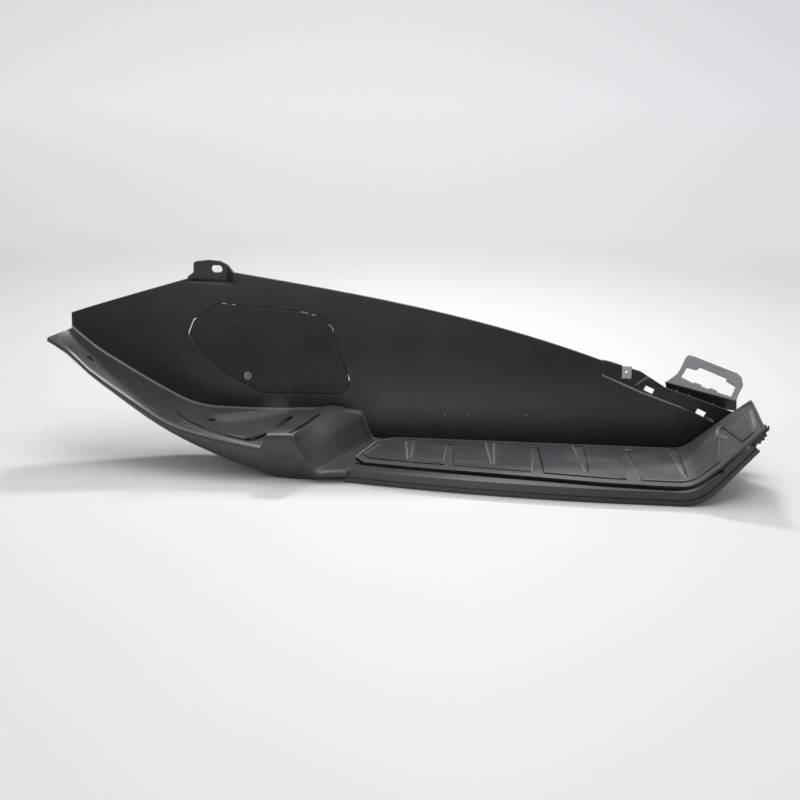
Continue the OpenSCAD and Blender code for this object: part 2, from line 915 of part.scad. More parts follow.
module notches() {
    for (i = [0:notch_count - 1])
        translate([notch_x(i), 0])
            if (i % 2 == 0)
                polygon([[-7, 5], [7, 5], [10, -foot_width * 0.62 - 3 * i], [3.5, -foot_width * 0.62 - 3 * i]]);
            else
                polygon([[-3.5, -19], [3.5, -19], [12 + i, -foot_width], [-5, -foot_width]]);
    // Creased notch on the rise
    translate([front_length, 0])
        polygon([[-41, -26], [-38, -24], [-25, -foot_width + 28], [-39, -foot_width], [-53, -foot_width + 20]]);
}
field_inset = 6;
field_edge = 9;
module foot_mat() {
    color([0.10, 0.10, 0.11])
        centred() {
            mat_layer(seat_gap, seat_gap + mat_thickness, rise_length)
                mat_plan();
            mat_layer(seat_gap + mat_thickness - 0.5, seat_gap + mat_thickness + rim_height, rise_length)
                difference() {
                    mat_plan();
                    mat_plan(rim_width);
                }
            mat_layer(seat_gap + mat_thickness - 0.5, seat_gap + mat_thickness + pad_height, rise_length - 14)
                difference() {
                    intersection() {
                        mat_plan(field_inset);
                        translate([2, field_edge])
                            mat_plan(field_inset);
                    }
                    notches();
                }
        }
}

// Hatch cover with its screw cup and two hooks
module service_hatch() {
    color([0.12, 0.12, 0.125])
        centred()
            difference() {
                union() {
                    intersection() {
                        wall_band(0, shell, -hatch_start - 10, hatch_length - hatch_start + 11);
                        through_wall()
                            hatch_shape();
                    }
                    at_screw()
                        translate([0, 0, -cup_depth - cup_floor])
                            cylinder(d = cup_diameter + 2 * cup_wall, h = cup_depth + cup_floor - 0.6);
                }
                at_screw() {
                    translate([0, 0, -cup_depth])
                        cylinder(d = cup_diameter, h = 20);
                    translate([0, 0, -20])
                        cylinder(d = screw_shank + 0.8, h = 40);
                }
            }
}

// Washer-head tapping screw that holds the hatch
screw_length = 13;
module hatch_screw() {
    color([0.45, 0.44, 0.42])
        centred()
            at_screw()
                translate([0, 0, -cup_depth]) {
                    difference() {
                        union() {
                            cylinder(d = screw_head, h = 1);
                            cylinder(d1 = screw_head * 0.72, d2 = screw_head * 0.56, h = 2.8);
                        }
                        for (turn = [0, 90])
                            rotate(turn)
                                translate([-2.2, -0.5, 1.3])
                                    cube([4.4, 1, 3]);
                    }
                    translate([0, 0, -screw_length])
                        cylinder(d = screw_shank - pilot_cut - 2 * thread_room, h = screw_length + 0.5);
                }
}

module clip_nut() {
    color([0.34, 0.33, 0.31])
        centred()
            at_clip()
                difference() {
                    union() {
                        for (leg = [-seat_gap - clip_sheet, shell + seat_gap])
                            translate([-clip_width / 2, leg, -clip_height / 2])
                                cube([clip_width, clip_sheet, clip_height]);
                        translate([-clip_width / 2, -seat_gap - clip_sheet, clip_height / 2 - clip_sheet])
                            cube([clip_width, shell + 2 * (seat_gap + clip_sheet), clip_sheet]);
                        rotate([-90, 0, 0])
                            cylinder(d = clip_barrel, h = shell + seat_gap + 5);
                    }
                    rotate([-90, 0, 0])
                        cylinder(d = clip_hole, h = 40, center = true);
                }
}

floorboard();
foot_mat();
service_hatch();
hatch_screw();
clip_nut();
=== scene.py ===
"""Dresses the scooter floorboard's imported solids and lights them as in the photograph."""
import math

import bpy
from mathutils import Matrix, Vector


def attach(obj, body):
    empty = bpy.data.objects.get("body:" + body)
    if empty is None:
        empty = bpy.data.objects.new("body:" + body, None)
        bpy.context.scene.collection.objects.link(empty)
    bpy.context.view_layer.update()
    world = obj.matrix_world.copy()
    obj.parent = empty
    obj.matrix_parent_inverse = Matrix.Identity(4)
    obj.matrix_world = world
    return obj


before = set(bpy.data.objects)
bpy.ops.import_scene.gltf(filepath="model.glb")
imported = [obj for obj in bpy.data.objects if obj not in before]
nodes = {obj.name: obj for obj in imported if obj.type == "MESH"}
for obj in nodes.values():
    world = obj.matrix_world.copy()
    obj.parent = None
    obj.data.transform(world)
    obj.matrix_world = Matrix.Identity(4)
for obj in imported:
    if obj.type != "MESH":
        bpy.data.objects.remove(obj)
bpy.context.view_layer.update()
scene = bpy.context.scene

# Camera, from the fit of the photograph
TARGET = Vector((0.00219, 0.02715, 0.079))
CAMERA_TURN = math.radians(6.0)
CAMERA_RISE = math.radians(20.0)
CAMERA_DISTANCE = 1.6
HALF_VIEW = 0.52
SENSOR = 36.0
CAMERA_REACH = 50
PIXELS = 800.0

look = Vector((
    -math.sin(CAMERA_TURN) * math.cos(CAMERA_RISE),
    math.cos(CAMERA_TURN) * math.cos(CAMERA_RISE),
    -math.sin(CAMERA_RISE),
))
eye = TARGET - look * CAMERA_DISTANCE
camera_data = bpy.data.cameras.new("camera")
camera_data.sensor_width = SENSOR
camera_data.lens = SENSOR * CAMERA_DISTANCE / (2 * HALF_VIEW)
camera_data.clip_end = CAMERA_REACH
camera = bpy.data.objects.new("camera", camera_data)
camera.location = eye
camera.rotation_euler = look.to_track_quat("-Z", "Y").to_euler()
scene.collection.objects.link(camera)
scene.camera = camera

right = look.cross(Vector((0, 0, 1))).normalized()
upward = right.cross(look)

# The side wall's lean, as in the solids
WALL_RADIUS = 0.670
WALL_STEPS = 12
WALL_FOOT = 0.0185
WALL_PLACE = 0.0391526


def wall_place(height):
    """The y of the wall's face at a height."""
    return WALL_PLACE + WALL_RADIUS - math.sqrt(WALL_RADIUS ** 2 - (height - WALL_FOOT) ** 2)


def ray(u, v):
    """Direction from the camera through a pixel of the photograph."""
    a = (u - PIXELS / 2) / (PIXELS / 2) * HALF_VIEW / CAMERA_DISTANCE
    b = (PIXELS / 2 - v) / (PIXELS / 2) * HALF_VIEW / CAMERA_DISTANCE
    return look + right * a + upward * b


def on_wall(u, v):
    """Point of the wall's face behind a pixel."""
    d = ray(u, v)
    y = WALL_PLACE
    for _ in range(WALL_STEPS):
        p = eye + d * ((y - eye.y) / d.y)
        y = wall_place(p.z)
    return p


def on_part(node, u, v):
    """First point of a solid behind a pixel, or else of the wall."""
    hit, place, _, _ = nodes[node].ray_cast(eye, ray(u, v).normalized())
    return place if hit else on_wall(u, v)


# Shader helpers
class Net:
    """Adds and links the nodes of one shader tree."""

    def __init__(self, tree):
        self.tree = tree

    def add(self, kind, **values):
        node = self.tree.nodes.new(kind)
        for key, value in values.items():
            setattr(node, key, value)
        return node

    def link(self, source, target):
        self.tree.links.new(source, target)

    def put(self, socket, value):
        if isinstance(value, bpy.types.NodeSocket):
            self.link(value, socket)
        else:
            socket.default_value = value

    def math(self, operation, a, b=0.0, clamp=False):
        node = self.add("ShaderNodeMath", operation=operation, use_clamp=clamp)
        for socket, value in zip(node.inputs, (a, b)):
            self.put(socket, value)
        return node.outputs[0]

    def plus(self, a, b, clamp=False):
        return self.math("ADD", a, b, clamp)

    def times(self, a, b):
        return self.math("MULTIPLY", a, b)

    def above(self, value, limit):
        """1 where a value is over a limit and 0 elsewhere."""
        return self.math("GREATER_THAN", value, limit)

    def vector(self, operation, a, b=(0, 0, 0)):
        node = self.add("ShaderNodeVectorMath", operation=operation)
        self.put(node.inputs[0], a)
        self.put(node.inputs[1], b)
        return node

    def distance(self, where, spot):
        return self.vector("DISTANCE", where, spot).outputs["Value"]

    def split(self, vector):
        """The x, y and z of a vector."""
        node = self.add("ShaderNodeSeparateXYZ")
        self.link(vector, node.inputs[0])
        return node.outputs

    def object_place(self):
        return self.add("ShaderNodeTexCoord").outputs["Object"]

    def face_normal(self):
        return self.split(self.add("ShaderNodeNewGeometry").outputs["True Normal"])

    def camera_ray(self):
        return self.add("ShaderNodeLightPath").outputs["Is Camera Ray"]

    def noise(self, where, scale, detail=3.0, rough=0.5, squeeze=(1, 1, 1), turn=(0, 0, 0),
              seed=0.0):
        place = self.add("ShaderNodeMapping")
        self.link(where, place.inputs["Vector"])
        place.inputs["Scale"].default_value = squeeze
        place.inputs["Rotation"].default_value = turn
        place.inputs["Location"].default_value = (seed, seed, seed)
        node = self.add("ShaderNodeTexNoise")
        self.link(place.outputs[0], node.inputs["Vector"])
        node.inputs["Scale"].default_value = scale
        node.inputs["Detail"].default_value = detail
        node.inputs["Roughness"].default_value = rough
        return node.outputs["Fac"]

    def ramp(self, value, low, high, out_low=0.0, out_high=1.0):
        node = self.add("ShaderNodeMapRange", clamp=True)
        self.link(value, node.inputs["Value"])
        limits = {"From Min": low, "From Max": high, "To Min": out_low, "To Max": out_high}
        for name, number in limits.items():
            node.inputs[name].default_value = number
        return node.outputs["Result"]

    def near_line(self, where, start, end):
        """Distance from a place to a straight line between two points."""
        run = end - start
        from_start = self.vector("SUBTRACT", where, tuple(start)).outputs[0]
        along = tuple(run / run.length_squared)
        share = self.vector("DOT_PRODUCT", from_start, along).outputs["Value"]
        share = self.plus(share, 0.0, clamp=True)
        step = self.add("ShaderNodeVectorMath", operation="SCALE")
        step.inputs[0].default_value = tuple(run)
        self.link(share, step.inputs["Scale"])
        return self.distance(from_start, step.outputs[0])

    def mix(self, share, a, b):
        node = self.add("ShaderNodeMix", data_type="RGBA")
        self.put(node.inputs["Factor"], share)
        self.put(node.inputs["A"], a if isinstance(a, bpy.types.NodeSocket) else (*a, 1))
        self.put(node.inputs["B"], b if isinstance(b, bpy.types.NodeSocket) else (*b, 1))
        return node.outputs["Result"]


# Patterns of every surface: noise scales in 1/m, their limits, and heights in metres
CLOUD_SCALE = 7.0
PATCH_SCALE = 38.0
PATCH_SHARE = 0.6
STREAK_SCALE = 60.0
STREAK_SQUEEZE = (0.12, 1.0, 3.0)
STREAK_TURN = (0, 0.5, 0.3)
STREAK_LIMITS = (0.67, 0.74)
STREAK_TONE_SHARE = 0.22
STREAK_ROUGHNESS = 0.1
EDGE_BEND_LIMITS = (0.99, 0.84)
LEAST_EDGE_WEAR_AND_HIGHLIGHT = 0.25
GRAIN_STRENGTH = 0.6
WAVE_SCALE = 16.0
WAVE_STRENGTH = 0.35
WAVE_HEIGHT = 0.0006


def surface(name, base, dust, rough, rough_spread=0.12, grain=1500.0, grain_depth=0.00005,
            edge=0.0011, edge_tone=(0.19, 0.19, 0.20), edge_wear_and_highlight=0.65, metallic=0.0, dust_share=0.35,
            scratch=0.5, specular=0.5, extra=None, spare=None):
    """A moulded or metal surface: grain, dust, scratches, rounded edges painted paler as wear and
    as a painted highlight.
    """
    mat = bpy.data.materials.new(name)
    mat.use_nodes = True
    tree = mat.node_tree
    tree.nodes.clear()
    net = Net(tree)
    out = net.add("ShaderNodeOutputMaterial")
    shade = net.add("ShaderNodeBsdfPrincipled")
    net.link(shade.outputs[0], out.inputs[0])
    where = net.object_place()

    cloud = net.noise(where, CLOUD_SCALE, 5.0, 0.62)
    patch = net.noise(where, PATCH_SCALE, 4.0, 0.6, seed=3.0)
    fine = net.noise(where, grain, 2.0, 0.5)
    streak = net.noise(where, STREAK_SCALE, 2.0, 0.5, squeeze=STREAK_SQUEEZE, turn=STREAK_TURN,
                       seed=7.0)
    hairline = net.ramp(streak, *STREAK_LIMITS)

    color = net.mix(net.ramp(cloud, 0.35, 0.7, 0.0, dust_share), base, dust)
    color = net.mix(net.ramp(patch, 0.5, 0.8, 0.0, dust_share * PATCH_SHARE), color, dust)
    color = net.mix(net.times(hairline, STREAK_TONE_SHARE * scratch), color, edge_tone)

    # Rounded edges are painted paler with edge_tone: partly wear, partly a painted highlight along
    # the edges
    bevel = net.add("ShaderNodeBevel", samples=4)
    bevel.inputs["Radius"].default_value = edge
    plain = net.add("ShaderNodeNewGeometry")
    bend = net.vector("DOT_PRODUCT", bevel.outputs[0], plain.outputs["Normal"]).outputs["Value"]
    edge_mask = net.ramp(bend, *EDGE_BEND_LIMITS)
    worn_and_lit_edge = net.times(edge_mask, net.ramp(patch, 0.38, 0.62, LEAST_EDGE_WEAR_AND_HIGHLIGHT, edge_wear_and_highlight))
    if spare:
        worn_and_lit_edge = net.times(worn_and_lit_edge, spare(net, where))
    color = net.mix(worn_and_lit_edge, color, edge_tone)

    spread = net.times(net.math("SUBTRACT", cloud, 0.5), rough_spread * 2)
    roughness = net.plus(rough, spread)
    roughness = net.plus(roughness, net.times(hairline, STREAK_ROUGHNESS * scratch), clamp=True)

    shine = None
    if extra:
        color, roughness, shine = extra(net, where, color, roughness)

    bump = net.add("ShaderNodeBump")
    bump.inputs["Strength"].default_value = GRAIN_STRENGTH
    bump.inputs["Distance"].default_value = grain_depth
    net.link(fine, bump.inputs["Height"])
    net.link(bevel.outputs[0], bump.inputs["Normal"])
    wave = net.add("ShaderNodeBump")
    wave.inputs["Strength"].default_value = WAVE_STRENGTH
    wave.inputs["Distance"].default_value = WAVE_HEIGHT
    net.link(net.noise(where, WAVE_SCALE, 2.0, 0.5, seed=5.0), wave.inputs["Height"])
    net.link(bump.outputs[0], wave.inputs["Normal"])

    net.link(color, shade.inputs["Base Color"])
    net.link(roughness, shade.inputs["Roughness"])
    net.link(wave.outputs[0], shade.inputs["Normal"])
    shade.inputs["Metallic"].default_value = metallic
    shade.inputs["Specular IOR Level"].default_value = specular
    if shine:
        net.link(net.times(shine, specular), shade.inputs["Specular IOR Level"])
    return mat


# The wall's stretch round the hatch, in x and z, and the start of the recessed front lip
HATCH_AREA = {0: (-0.292, -0.058), 2: (0.068, 0.205)}
WALL_SIDE = 0.037
LIP_START = 0.255
GAP_SPARED = 0.95


def spare_area(net, place):
    """1 on the stretch of wall round the hatch's gap and 0 elsewhere."""
    inside = net.above(place[1], WALL_SIDE)
    for axis, (low, high) in HATCH_AREA.items():
        inside = net.times(inside, net.above(place[axis], low))
        inside = net.times(inside, net.math("LESS_THAN", place[axis], high))
    return inside


def off_hatch(net, where):
    """Share of the paler edges, wear and painted highlight: almost none at the hatch's gap, twice
    as much at the front lip.
    """
    place = net.split(where)
    lip = net.times(net.above(place[1], WALL_SIDE), net.above(place[0], LIP_START))
    spared = net.times(spare_area(net, place), GAP_SPARED)
    return net.plus(net.math("SUBTRACT", 1.0, spared), lip)


# Small pale scuffs on the wall, where the photograph shows them: pixel and size in metres
SCUFFS = [
    (445, 415, 0.0016),
    (467.5, 415, 0.0013),
    (526, 415, 0.0018),
    (531.5, 354, 0.0012),
    (287, 408, 0.0016),
]
SCUFF_TONE = (0.42, 0.42, 0.43)

# Lines of the moulding: painted highlights along its edges, painted shade in its creases and
# groove, and a patch of painted sheen on the shelf: pixels along each, half width, tone and
# strength
PAINTED_LIGHT_AND_SHADE_LINES = [
    ([(225, 418), (278, 411)], 0.011, 0.115, 0.8),
    ([(247, 439.5), (257, 437), (266, 434), (279, 425.5), (291, 417.5)], 0.0019, 0.004, 0.85),
    ([(290, 433), (297, 428.7), (305, 424), (312, 419), (319, 414)], 0.0019, 0.004, 0.85),
    ([(183, 420), (198, 427.5), (222, 434), (244, 437.5)], 0.0009, 0.22, 0.65),
    ([(150, 406), (185, 425), (225, 438), (259, 446.5)], 0.0009, 0.30, 0.6),
    ([(267, 434.5), (290, 434)], 0.0010, 0.22, 0.6),
    ([(346, 411), (361, 413)], 0.0022, 0.13, 0.6),
    ([(362, 414), (371, 436)], 0.0013, 0.13, 0.5),
    ([(319, 473), (350, 468.5)], 0.0013, 0.17, 0.6),
    ([(603, 375), (640, 392), (700, 414), (713, 421)], 0.0010, 0.33, 0.75),
    ([(637, 384), (648, 377)], 0.0016, 0.22, 0.6),
    ([(748, 447.5), (761, 453)], 0.0012, 0.40, 0.6),
    ([(357, 463.5), (430, 470.5), (490, 476.5), (555, 482), (622, 487.5), (672, 490.5),
      (692, 487), (722, 471)], 0.0020, 0.003, 0.85),
]
# The same for the mat: painted highlights and painted shade along its pads and rim
MAT_PAINTED_LIGHT_AND_SHADE_LINES = [
    ([(357, 456), (376, 441.5), (390, 439)], 0.0009, 0.30, 0.7),
    ([(364, 454), (380, 444)], 0.0008, 0.26, 0.6),
    ([(405.8, 441.5), (407.5, 458.5)], 0.0009, 0.30, 0.7),
    ([(413.8, 442.5), (410.5, 458)], 0.0009, 0.26, 0.6),
    ([(447, 445), (443.5, 462.5), (437.5, 465)], 0.0009, 0.28, 0.7),
    ([(412, 459.5), (437.5, 465)], 0.0007, 0.20, 0.6),
    ([(453, 445), (453.8, 464)], 0.0007, 0.004, 0.7),
    ([(485.5, 443), (491.2, 463.5)], 0.0009, 0.28, 0.7),
    ([(494, 443), (494, 463.5)], 0.0009, 0.28, 0.7),
    ([(455, 466), (490, 468), (530, 471.5)], 0.0007, 0.20, 0.6),
    ([(534, 446.5), (531.5, 471)], 0.0009, 0.26, 0.7),
    ([(538, 447.5), (543.8, 471)], 0.0008, 0.004, 0.8),
    ([(572.5, 446.5), (585, 471)], 0.0009, 0.28, 0.7),
    ([(583, 446), (588.8, 472)], 0.0008, 0.004, 0.8),
    ([(546, 472), (590, 475.5), (622, 478.5)], 0.0007, 0.20, 0.6),
    ([(625, 450), (630, 450)], 0.0012, 0.26, 0.7),
    ([(626.5, 451), (640.5, 479)], 0.0009, 0.22, 0.7),
    ([(643, 479.5), (685, 480.5), (699, 476)], 0.0009, 0.24, 0.7),
    ([(668, 449), (682.5, 473.5)], 0.0009, 0.28, 0.7),
    ([(675.5, 448), (685.5, 473.5)], 0.0008, 0.004, 0.8),
    ([(700, 475), (722, 457), (742, 441)], 0.0012, 0.18, 0.5),
    ([(717.5, 430), (720, 435.5), (727.5, 438)], 0.0012, 0.26, 0.7),
    ([(751, 411), (754.5, 427.5)], 0.0022, 0.26, 0.8),
    ([(680, 443.5), (752, 405.5)], 0.0012, 0.18, 0.5),
    ([(380, 438), (480, 440), (600, 443), (672, 446)], 0.0018, 0.16, 0.55),
    ([(640, 460), (672, 468)], 0.012, 0.12, 0.4),
    ([(575, 458), (612, 463)], 0.010, 0.13, 0.5),
]

# Strokes below this tone are painted shade in creases and grooves, which takes the shine away too
DARK_TONE = 0.01
# Fine noise that frays the outline of strokes and scuffs
JITTER_SCALE = 500.0
JITTER_REACH = 0.0012
STROKE_JITTER = 0.4
BLUE_SHARE = 1.04


def fray(net, where):
    return net.times(net.noise(where, JITTER_SCALE, 2.0), JITTER_REACH)


def strokes(net, where, color, shine, node, marks, jitter):
    """Draws soft lines through points of a solid behind pixels of the photograph."""
    for pixels, half, tone, strength in marks:
        spots = [on_part(node, u, v) for u, v in pixels]
        gap = net.near_line(where, spots[0], spots[1])
        for start, end in zip(spots[1:], spots[2:]):
            gap = net.math("MINIMUM", gap, net.near_line(where, start, end))
        gap = net.plus(gap, net.times(jitter, STROKE_JITTER))
        mask = net.ramp(gap, half * 1.9, half * 0.9, 0.0, strength)
        color = net.mix(mask, color, (tone, tone, tone * BLUE_SHARE))
        if tone < DARK_TONE:
            shine = net.times(shine, net.math("SUBTRACT", 1.0, mask))
    return color, shine


# Marks of the moulding: places in metres
DOME = (-0.0863, 0.0100, 0.066)
FLANGE_DUST = (-0.40, -0.27, 0.2, 1.0)
FRONT_STRETCH = (0.10, 0.30)
LEVEL_DUST_AND_LIGHT = (0.050, 0.048, 0.056)
PAINTED_SHADE_BLACK = (0.008, 0.008, 0.009)
GAP_PAINTED_LIGHT_TONE = (0.07, 0.07, 0.075)
# Middle and reach of the two fixing holes' recesses
HOLES = [((-0.402045, 0.0021526, 0.125684), 0.0064), ((-0.2383276, -0.0143529, 0.0526), 0.0069)]
# Painted rings round each hole, highlight, shade and daylight: start and full strength in shares
# of its reach, strength and tone
HOLE_LIGHT_AND_SHADE_RINGS = [
    (1.38, 1.12, 0.6, (0.17, 0.17, 0.18)),
    (1.10, 0.98, 0.9, PAINTED_SHADE_BLACK),
    (0.62, 0.56, 0.8, (0.42, 0.42, 0.42)),
]
# The bracket's ring: its least x and y, and the slanted plane that it lies above
RING_X = 0.34
RING_Y = 0.0675
RING_BEND_X = 0.3457
RING_SLOPE = 0.2487
RING_FOOT = 0.1025
RING_HIGHLIGHT_TONE = (0.26, 0.265, 0.285)


def moulding_marks(net, where, color, roughness, lines=PAINTED_LIGHT_AND_SHADE_LINES):
    """Scuffs, dust and the painted light and shade of the moulding: lines, front, hatch gap, holes
    and ring.
    """
    jitter = fray(net, where)
    for u, v, size in SCUFFS:
        gap = net.plus(net.distance(where, tuple(on_wall(u, v))), jitter)
        color = net.mix(net.ramp(gap, size * 1.25, size * 0.6, 0.0, 0.85), color, SCUFF_TONE)
    # Dust and painted light lie on the level faces, less of both on the rear flange and on the
    # dome
    turned = net.face_normal()
    place = net.split(where)
    x, y, z = place
    level = net.ramp(turned[2], 0.12, 0.5, 0.0, 0.75)
    level = net.times(level, net.ramp(x, *FLANGE_DUST))
    # The moulding is painted darker towards the front, a painted shade
    color = net.mix(net.ramp(x, *FRONT_STRETCH, 0.0, 0.7), color, PAINTED_SHADE_BLACK)
    # The inner faces of the hatch's gap are painted pale, a painted light that takes away the
    # gap's shade
    gap_painted_light = net.ramp(net.math("ABSOLUTE", turned[1]), 0.65, 0.5)
    gap_painted_light = net.times(gap_painted_light, net.ramp(spare_area(net, place), 0.2, 0.8))
    color = net.mix(net.times(gap_painted_light, 0.9), color, GAP_PAINTED_LIGHT_TONE)
    dome = net.distance(where, DOME)
    roughness = net.plus(roughness, net.times(level, 0.22))
    roughness = net.plus(roughness, net.ramp(dome, 0.020, 0.070, 0.24, 0.0))
    level = net.times(level, net.ramp(dome, 0.015, 0.055, 0.15, 1.0))
    color = net.mix(level, color, LEVEL_DUST_AND_LIGHT)
    shine = net.ramp(x, *FRONT_STRETCH, 1.0, 0.75)
    color, shine = strokes(net, where, color, shine, "floorboard", lines, jitter)
    # Painted shade in the two fixing holes' recesses, with a painted highlight round their edge
    # and painted daylight in the bore
    for centre, reach in HOLES:
        gap = net.distance(where, centre)
        for start, full, strength, tone in HOLE_LIGHT_AND_SHADE_RINGS:
            color = net.mix(net.ramp(gap, reach * start, reach * full, 0.0, strength), color, tone)
    # The bracket's ring is painted paler than the rest, a painted highlight for the light it
    # catches
    ring = net.times(net.above(x, RING_X), net.above(y, RING_Y))
    slope = net.plus(z, net.times(net.math("SUBTRACT", x, RING_BEND_X), RING_SLOPE))
    ring = net.times(ring, net.above(slope, RING_FOOT))
    color = net.mix(net.times(ring, 0.9), color, RING_HIGHLIGHT_TONE)
    return color, roughness, shine


def hatch_marks(net, where, color, roughness):
    """The same for the hatch, without the painted highlight and shade lines."""
    return moulding_marks(net, where, color, roughness, ())


# The floor's top, the bend at its front and the rise after it
FLOOR_TOP = 0.0185
BEND_X = 0.36969
RISE = math.radians(42)
RISE_NORMAL = Vector((-math.sin(RISE), 0, math.cos(RISE)))
# Marks of the mat: start and end of the paler rise, heights over the floor and tones
RISE_START = (0.355, 0.385)
RISE_SHADE = (0.365, 0.42)
RIM_HEIGHTS = (0.0047, 0.0044)
RIM_AND_NOTCH_TONE = (0.115, 0.115, 0.120)
RISE_SHADE_TONE = (0.022, 0.022, 0.024)
RUBBED_TONE = (0.125, 0.125, 0.132)


def mat_height(net, x, z):
    """The mat's height over the floor, on the flat part and on the rise."""
    flat = net.math("SUBTRACT", z, FLOOR_TOP)
    along = net.times(net.math("SUBTRACT", x, BEND_X), RISE_NORMAL.x)
    slanted = net.plus(net.times(flat, RISE_NORMAL.z), along)
    return net.math("MINIMUM", flat, slanted)


def mat_marks(net, where, color, roughness):
    """Paler low faces, painted shade, painted highlight and shade lines and rubbed patches of the
    mat.
    """
    x, _, z = net.split(where)
    # The rim and the notches between the pads are painted paler
    low = net.ramp(mat_height(net, x, z), *RIM_HEIGHTS, 0.0, 0.45)
    color = net.mix(low, color, RIM_AND_NOTCH_TONE)
    # The upright side faces of the mat and its pads are painted dark, a painted shade, less so on
    # the rise
    turned = net.face_normal()
    side = net.times(net.ramp(turned[2], 0.55, 0.25), net.ramp(x, *RISE_START, 1.0, 0.15))
    color = net.mix(side, color, PAINTED_SHADE_BLACK)
    color, shine = strokes(net, where, color, 1.0, "foot_mat", MAT_PAINTED_LIGHT_AND_SHADE_LINES, fray(net, where))
    # The rise is painted a little darker, a painted shade, with rubbed patches over the whole mat
    color = net.mix(net.ramp(x, *RISE_SHADE, 0.0, 0.35), color, RISE_SHADE_TONE)
    rub = net.noise(where, 22.0, 5.0, 0.7, squeeze=(0.6, 1.4, 1.0), seed=11.0)
    color = net.mix(net.ramp(rub, 0.5, 0.75, 0.0, 0.45), color, RUBBED_TONE)
    return color, roughness, shine


BLACK = (0.0172, 0.0166, 0.0200)
HATCH_BLACK = (0.0150, 0.0145, 0.0172)
DUST = (0.040, 0.039, 0.045)
moulding = surface("moulding_plastic", BLACK, DUST, 0.32, 0.07, specular=0.85,
                   extra=moulding_marks, spare=off_hatch)
hatch_skin = surface("hatch_plastic", HATCH_BLACK, DUST, 0.37, 0.08, specular=0.66,
                     extra=hatch_marks, spare=off_hatch)
rubber = surface("mat_rubber", (0.051, 0.050, 0.057), (0.093, 0.092, 0.104), 0.50, grain=900.0,
                 edge=0.0016, edge_tone=(0.30, 0.30, 0.31), edge_wear_and_highlight=0.85, dust_share=0.5,
                 extra=mat_marks)
# Paler rubber of the two beads; on the crease's bead its paleness is a painted highlight
pale_bead_rubber = surface("pale_bead_rubber", (0.15, 0.15, 0.155), (0.22, 0.22, 0.23), 0.55,
                        grain=900.0, edge=0.0004)
METAL_FINISH = {"grain": 2200.0, "grain_depth": 0.00003, "edge": 0.0003, "edge_wear_and_highlight": 0.6}
zinc = surface("screw_zinc", (0.45, 0.43, 0.38), (0.22, 0.20, 0.17), 0.36,
               edge_tone=(0.75, 0.72, 0.66), metallic=1.0, **METAL_FINISH)
spring = surface("clip_steel", (0.66, 0.65, 0.63), (0.38, 0.32, 0.29), 0.50,
                 edge_tone=(0.7, 0.7, 0.68), metallic=0.5, **METAL_FINISH)

SKINS = {"floorboard": moulding, "service_hatch": hatch_skin, "foot_mat": rubber,
         "hatch_screw": zinc, "clip_nut": spring}
for name, mat in SKINS.items():
    for place in nodes[name].material_slots:
        place.material = mat


# Smooth shading across small facets only, by a modifier, so that the solids stay as they are
SOFT_ANGLE = math.radians(27)
WELD_REACH = 0.00001


def smooth_group(angle):
    tree = bpy.data.node_groups.new("soft_shading", "GeometryNodeTree")
    tree.interface.new_socket("Geometry", in_out="INPUT", socket_type="NodeSocketGeometry")
    tree.interface.new_socket("Geometry", in_out="OUTPUT", socket_type="NodeSocketGeometry")
    enter = tree.nodes.new("NodeGroupInput")
    leave = tree.nodes.new("NodeGroupOutput")
    weld = tree.nodes.new("GeometryNodeMergeByDistance")
    weld.inputs["Distance"].default_value = WELD_REACH
    forget = tree.nodes.new("GeometryNodeRemoveAttribute")
    forget.inputs["Name"].default_value = "custom_normal"
    faces = tree.nodes.new("GeometryNodeSetShadeSmooth")
    faces.domain = "FACE"
    edges = tree.nodes.new("GeometryNodeSetShadeSmooth")
    edges.domain = "EDGE"
    edges.inputs["Shade Smooth"].default_value = False
    bend = tree.nodes.new("GeometryNodeInputMeshEdgeAngle")
    over = tree.nodes.new("FunctionNodeCompare")
    over.data_type = "FLOAT"
    over.operation = "GREATER_THAN"
    over.inputs[1].default_value = angle
    link = tree.links.new
    link(bend.outputs["Unsigned Angle"], over.inputs[0])
    link(enter.outputs[0], forget.inputs[0])
    link(forget.outputs[0], weld.inputs[0])
    link(weld.outputs[0], faces.inputs[0])
    link(faces.outputs[0], edges.inputs[0])
    link(over.outputs[0], edges.inputs["Selection"])
    link(edges.outputs[0], leave.inputs[0])
    return tree


soft = smooth_group(SOFT_ANGLE)
for name in SKINS:
    step = nodes[name].modifiers.new("soft_shading", "NODES")
    step.node_group = soft


def new_piece(name, verts, faces, mat):
    """Adds an object of its own mesh to the scene."""
    mesh = bpy.data.meshes.new(name)
    mesh.from_pydata([tuple(v) for v in verts], [], faces)
    mesh.materials.append(mat)
    piece = bpy.data.objects.new(name, mesh)
    scene.collection.objects.link(piece)
    return piece


def smooth(piece):
    for polygon in piece.data.polygons:
        polygon.use_smooth = True


def on_rise(u, v, height):
    """Point behind a pixel at a height over the rising front of the floor."""
    base = Vector((BEND_X, 0, FLOOR_TOP)) + RISE_NORMAL * height
    d = ray(u, v)
    return eye + d * ((base - eye).dot(RISE_NORMAL) / d.dot(RISE_NORMAL))


# Small raised beads of the mat's rise, laid on the mat along pixels of the photograph
BEAD_STEPS = 6
BEAD_SOFTENING = 3
BEAD_SIDES = 8
BEAD_TIP = 0.15
BEAD_TAPER = 2.2


